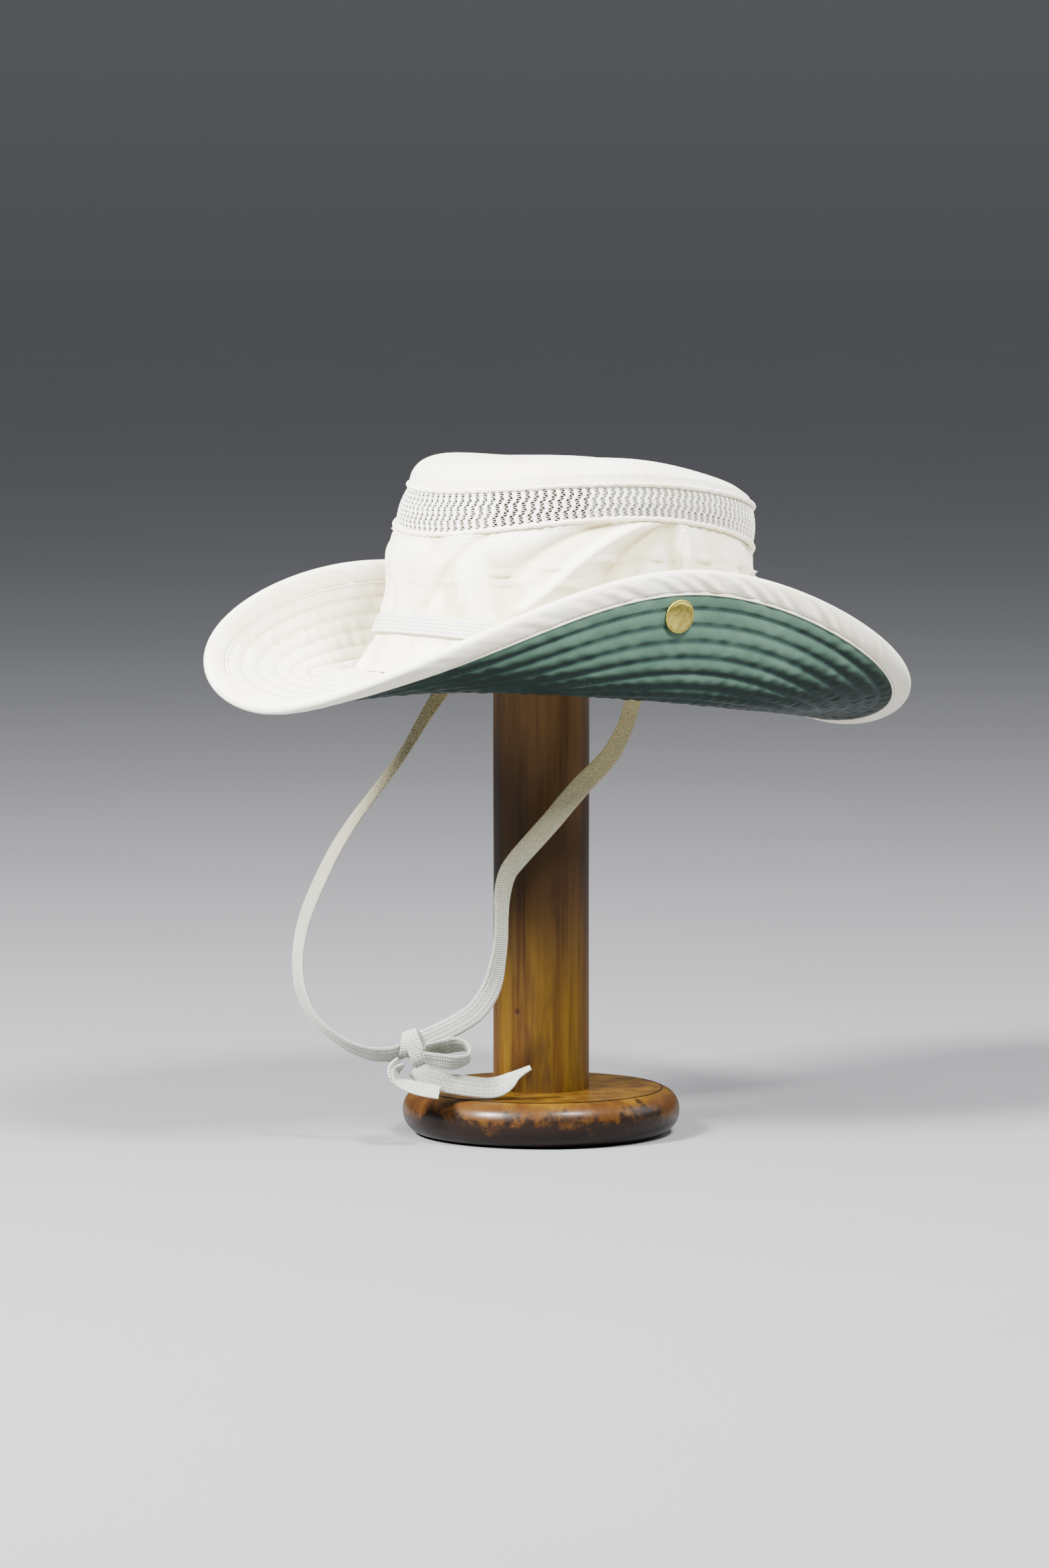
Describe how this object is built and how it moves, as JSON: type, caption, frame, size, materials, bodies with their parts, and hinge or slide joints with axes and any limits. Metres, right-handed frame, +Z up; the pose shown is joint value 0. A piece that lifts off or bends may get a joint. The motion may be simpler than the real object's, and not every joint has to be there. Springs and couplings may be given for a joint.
{
  "type": "wide-brim hat on a wooden stand",
  "caption": "Snap-up cloth sun hat with a mesh vent band, quilted two-layer brim, brass snaps and a tied chin cord, on a turned wooden post stand.",
  "frame": {"origin": "middle of the stand base's underside, on the surface that it stands on", "axes": "+Z up along the post; the hat's front points to -Y and its left side to +X"},
  "size_m": [0.2161, 0.356, 0.3146],
  "materials": {
    "cotton": "matt cream cotton duck",
    "knit": "cream warp-knitted mesh",
    "green_lining": "dark green sateen, row-stitched",
    "cord": "flat off-white braid",
    "brass": "polished, lightly worn",
    "wood": "amber varnish over stained grain, worn dark at the rim"
  },
  "bodies": {
    "root": {"crown_tip": "cotton", "tip_piping": "cotton", "vent_mesh": "knit", "mesh_piping": "cotton", "crown_side": "cotton", "brim_top": "cotton", "brim_under": "green_lining", "brim_binding": "cotton", "near_snap_cap": "brass", "near_snap_socket": "brass", "far_snap_cap": "brass", "far_snap_socket": "brass", "near_eyelet": "brass", "far_eyelet": "brass", "cord_band": "cord", "cord_near": "cord", "cord_far": "cord", "cord_knot": "cord", "cord_bow": "cord", "cord_tail_long": "cord", "cord_tail_short": "cord", "stand_post": "wood", "stand_base": "wood"}
  },
  "joints": []
}
